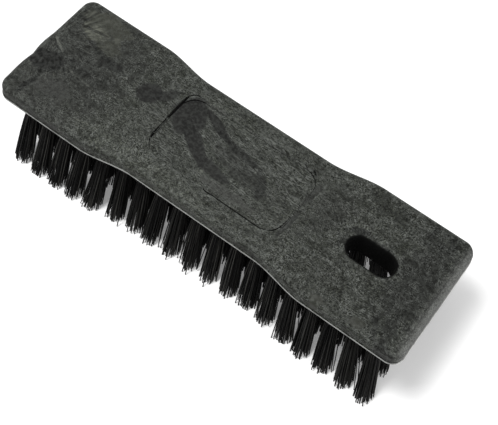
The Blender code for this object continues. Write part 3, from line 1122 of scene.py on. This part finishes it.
def make_plastic(colours):
    """Dark foamed plastic: full of fine pale and dark lines, smooth in places and scuffed along its edges, with
    painted highlights along its far rim, parting line and right end, and painted shade in its slot and creases.
    """
    made, tree, shader = new_material("block_foam_plastic")
    place = object_place(tree)
    swirl = place_group(tree, "Foam swirl", {"Vector": place, **swirl_settings})
    flow = place_group(tree, "Foam swirl", {"Vector": place, **flow_settings})
    fan = place_group(tree, "Flow fan", {"Vector": place, **fan_settings})
    drift = place_group(tree, "Surface drift", {"Vector": place, "Size": 45.0})
    middle = place_group(tree, "Soft patch", {"Vector": place, **middle_settings})["Mask"]
    tones, skins, olives = mark_masks(tree, place)
    skins.append(ramp(tree, drift["Slow"], *skin_patches))
    skin = total_of(tree, skins, "MAXIMUM")
    rough_share = less(tree, 1.0, skin)
    off_middle = less(tree, 1.0, times(tree, middle, middle_hold))
    lines = {}
    for label in line_sets:
        both = maths(tree, "MAXIMUM", times(tree, swirl[label], off_middle), times(tree, flow[label], middle))
        lines[label] = times(tree, both, rough_share)
    dark = times(tree, lines["Dark"], dark_line_tone)
    grain = times(tree, centred(tree, swirl["Grain"], grain_tone), rough_share)
    blotches = times(tree, centred(tree, swirl["Blotches"], blotch_tone), rough_share)
    flow_lines = times(tree, centred(tree, flow["Grain"], flow_tone), middle)
    flow_lines = times(tree, flow_lines, maths(tree, "ADD", times(tree, rough_share, flow_off_skin), flow_on_skin))
    fan_lines = times(tree, centred(tree, fan["Lines"], fan_tone), fan["Mask"])
    slow = centred(tree, drift["Slow"], slow_tone)
    fine = centred(tree, drift["Fine"], fine_tone)
    tones += [grain, blotches, dark, flow_lines, fan_lines, slow, fine]
    bright = maths(tree, "POWER", 2.0, total_of(tree, tones))
    bright = maths(tree, "MINIMUM", maths(tree, "MAXIMUM", bright, darkest_tone), palest_tone)

    colour = blend_colours(tree, skin, colours.plastic, colours.skin)
    colour = blend_colours(tree, total_of(tree, olives, "MAXIMUM"), colour, colours.olive)
    colour = scaled(tree, colour, bright)
    colour = blend_colours(tree, times(tree, lines["Pale"], pale_line_share), colour, colours.streak)
    top_wear = times(tree, attribute(tree, "edge_wear"), ramp(tree, drift["Fine"], *wear_patches))
    colour = blend_colours(tree, times(tree, top_wear, top_wear_share), colour, colours.streak)
    # The right end's painted sheen, broken up by the grain
    end_pale = attribute(tree, "end_pale")
    end_sheen_share = times(tree, end_pale, ramp(tree, swirl["Grain"], *end_sheen_patches))
    colour = blend_colours(tree, end_sheen_share, colour, colours.seam)
    # The far rim's painted highlight
    colour = blend_colours(tree, times(tree, attribute(tree, "rim_light"), rim_highlight_share), colour, colours.streak)
    # The parting line's scuffing and painted highlight, brighter still across the right end's painted sheen
    seam = times(tree, attribute(tree, "seam_wear"), ramp(tree, swirl["Blotches"], *seam_patches))
    seam_highlight_level = maths(tree, "ADD", 1.0, times(tree, end_pale, end_seam_highlight))
    colour = blend_colours(tree, seam, colour, scaled(tree, colours.seam, seam_highlight_level))
    # Painted shade in the slot and creases, mixed towards the bristles' black; the roughness below follows the same
    # mask
    recess = attribute(tree, "recess_dark")
    colour = blend_colours(tree, times(tree, recess, recess_shade_share), colour, colours.bristle)
    tree.links.new(colour, shader.inputs["Base Color"])

    roughness = ramp(tree, skin, 0.0, 1.0, *skin_roughness)
    roughness = maths(tree, "ADD", roughness, times(tree, drift["Fine"], fine_roughness))
    roughness = maths(tree, "ADD", roughness, times(tree, recess, recess_roughness), clamp=True)
    tree.links.new(roughness, shader.inputs["Roughness"])
    heights = [times(tree, centred(tree, swirl["Grain"], grain_relief), rough_share), lines["Pale"],
               times(tree, dark, dark_line_relief), centred(tree, drift["Fine"], fine_relief),
               times(tree, fan_lines, fan_relief), times(tree, flow_lines, flow_relief)]
    add_bump(tree, shader, total_of(tree, heights), strength=0.6, distance=0.00012)
    shader.inputs["Specular IOR Level"].default_value = 0.07
    return made


def make_bristle_material(colours):
    """Black filament, a little paler from strand to strand, where the pale strands are painted glints, and towards
    its cut tips.
    """
    made, tree, shader = new_material("bristle_black_filament")
    drift = place_group(tree, "Surface drift", {"Vector": object_place(tree), "Size": 120.0})
    # Pale strands stand for painted glints along the filaments
    pale = maths(tree, "POWER", attribute(tree, "strand_shade"), 3.0)
    worn_tip = ramp(tree, attribute(tree, "strand_length"), 0.95, 1.0, 0.0, 0.25)
    pale = maths(tree, "ADD", pale, worn_tip, clamp=True)
    pale = times(tree, pale, ramp(tree, drift["Fine"], 0.3, 0.6, 0.5, 1.0))
    tree.links.new(blend_colours(tree, pale, colours.bristle, colours.bristle_light), shader.inputs["Base Color"])
    tree.links.new(ramp(tree, drift["Fine"], 0.3, 0.7, 0.42, 0.60), shader.inputs["Roughness"])
    add_bump(tree, shader, drift["Fine"], strength=0.2, distance=0.00005)
    shader.inputs["Specular IOR Level"].default_value = 0.06
    return made


def seen_directly(tree):
    """1 for rays of the camera, reflections and see-through surfaces, and 0 for the light that falls on things."""
    rays = node(tree, "ShaderNodeLightPath").outputs
    return total_of(tree, [rays[f"Is {kind} Ray"] for kind in ("Camera", "Glossy", "Transmission")], "MAXIMUM")


def make_floor_material(colours):
    """A pale floor that the camera and reflections see as white, and that keeps the brush's shadow."""
    made, tree, shader = new_material("pale_floor")
    drift = place_group(tree, "Surface drift", {"Vector": object_place(tree), "Size": 3.0})
    dimmer = [channel * floor_dimming for channel in colours.floor]
    tree.links.new(blend_colours(tree, drift["Slow"], colours.floor, dimmer), shader.inputs["Base Color"])
    shader.inputs["Roughness"].default_value = 0.9
    shader.inputs["Specular IOR Level"].default_value = 0.1
    shader.inputs["Emission Color"].default_value = (1.0, 1.0, 1.0, 1.0)
    tree.links.new(times(tree, seen_directly(tree), floor_lift), shader.inputs["Emission Strength"])
    return made


class BRUSH_OT_block(bpy.types.Operator):
    """Model the waisted block with its parting line, recessed panel, hang slot and tuft holes"""
    bl_idname = "scrub_brush.block"
    bl_label = "Block"

    def execute(self, context):
        block = context.scene.brush_block
        recess = context.scene.brush_recesses
        tufts = context.scene.brush_tufts
        parting = block.top - block.parting_depth
        line = block.parting_height / 2
        piece = add_plate("moulded_block", block.length, block.width, parting - line, parting + line)
        round_upright_edges(piece, block.corner_radius, corner_segments)
        draw_in_waist(piece, block)
        step = block.parting_step
        bead = quarter_round(step, small_segments)
        wall = (block.upper_draft - step, block.parting_depth - line - step - block.top_edge_radius)
        shape_cap(piece, 1, bead + [wall] + quarter_round(block.top_edge_radius, round_segments))
        lower = parting - line - step - block.underside - block.lower_edge_radius
        side = [((block.lower_taper - step) / lower_bands, lower / lower_bands)] * lower_bands
        shape_cap(piece, -1, bead + side + quarter_round(block.lower_edge_radius, small_segments))
        grid_level(piece, block.length, block.width, block.top)
        grid_left_end(piece, block)
        for start, finish, shift, reach in sink_marks:
            sink(piece, start, finish, shift, reach)
        ripple_top(piece, block)
        cut_out(piece, panel_cutter(block, recess))
        grid_level(piece, recess.panel_length, recess.panel_width, block.top - recess.panel_depth)
        cut_out(piece, slot_cutter(block, recess, 1))
        cut_out(piece, slot_cutter(block, recess, -1))
        cut_out(piece, hole_cutter(block, recess, tufts))
        for width, depth, points in creases:
            cut_out(piece, crease_cutter(block, width, depth, points))
        clean_piece(piece)
        smooth_piece(piece)
        mark_surface(piece, block, recess)
        piece.data.materials.clear()
        piece.data.materials.append(make_plastic(context.scene.brush_colours))
        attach(piece, "root")
        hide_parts("block")
        return {"FINISHED"}


class BRUSH_OT_tufts(bpy.types.Operator):
    """Model the tufts of bristles, one piece for each strip of tufts across the block"""
    bl_idname = "scrub_brush.tufts"
    bl_label = "Tufts"

    def execute(self, context):
        block = context.scene.brush_block
        tufts = context.scene.brush_tufts
        material = make_bristle_material(context.scene.brush_colours)
        strips = {}
        for name, x, y, direction in tuft_places(block, tufts):
            strips.setdefault(name, []).append((x, y, direction))
        for name, places in strips.items():
            piece = draw_tufts(name.replace("tuft_strip", "bristles"), places, block, tufts)
            piece.data.materials.clear()
            piece.data.materials.append(material)
            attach(piece, "root")
            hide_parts(name)
        return {"FINISHED"}


class BRUSH_OT_stage(bpy.types.Operator):
    """Lay the pale floor, and set the lights and the camera"""
    bl_idname = "scrub_brush.stage"
    bl_label = "Stage"

    def execute(self, context):
        deselect_everything()
        bpy.ops.mesh.primitive_plane_add(size=floor_size, location=(0, 0, 0))
        floor = bpy.context.active_object
        floor.name = "floor"
        floor.data.materials.append(make_floor_material(context.scene.brush_colours))
        for name, place, size, power in lamps:
            bpy.ops.object.light_add(type="AREA", location=place)
            lamp = bpy.context.active_object
            lamp.name = name
            lamp.data.energy = power
            lamp.data.size = size
            aim = Vector(lamp_target) - Vector(place)
            lamp.rotation_euler = aim.to_track_quat("-Z", "Y").to_euler()
        bpy.ops.object.camera_add(location=camera_place, rotation=camera_turn)
        camera = bpy.context.active_object
        camera.data.sensor_width = camera_sensor
        camera.data.lens = camera_lens
        camera.data.clip_start = camera_near
        context.scene.camera = camera
        make_world(context.scene)
        context.scene.view_settings.view_transform = "Standard"
        return {"FINISHED"}


def make_world(scene):
    """Even light from all sides, which the camera and reflections see as white."""
    world = bpy.data.worlds.new("Pale surroundings")
    world.use_nodes = True
    tree = world.node_tree
    tree.nodes.clear()
    strength = ramp(tree, seen_directly(tree), 0.0, 1.0, world_level, 1.0)
    light = node(tree, "ShaderNodeBackground", {"Color": (1.0, 1.0, 1.0, 1.0), "Strength": strength})
    node(tree, "ShaderNodeOutputWorld", {"Surface": light.outputs[0]})
    scene.world = world


class BRUSH_PT_sidebar(bpy.types.Panel):
    """The brush's sizes and colours, and a button for each piece"""
    bl_label = "Scrub brush"
    bl_idname = "BRUSH_PT_sidebar"
    bl_space_type = "VIEW_3D"
    bl_region_type = "UI"
    bl_category = "Scrub brush"

    def draw(self, context):
        for name, kind in groups.items():
            box = self.layout.box()
            box.label(text=name.removeprefix("brush_").capitalize())
            for label in kind.__annotations__:
                box.prop(getattr(context.scene, name), label)
        for operator in operators:
            self.layout.operator(operator.bl_idname)


groups = {"brush_block": BrushBlock, "brush_recesses": BrushRecesses, "brush_tufts": BrushTufts,
          "brush_colours": BrushColours}
operators = (BRUSH_OT_block, BRUSH_OT_tufts, BRUSH_OT_stage)
classes = (*groups.values(), *operators, BRUSH_PT_sidebar)


def register():
    for kind in classes:
        bpy.utils.register_class(kind)
    for name, kind in groups.items():
        setattr(bpy.types.Scene, name, PointerProperty(type=kind))


def unregister():
    for name in groups:
        delattr(bpy.types.Scene, name)
    for kind in reversed(classes):
        bpy.utils.unregister_class(kind)


def main():
    register()
    make_foam_swirl()
    make_flow_fan()
    make_soft_patch()
    make_surface_drift()
    bpy.ops.scrub_brush.block()
    bpy.ops.scrub_brush.tufts()
    bpy.ops.scrub_brush.stage()


if __name__ == "__main__":
    main()
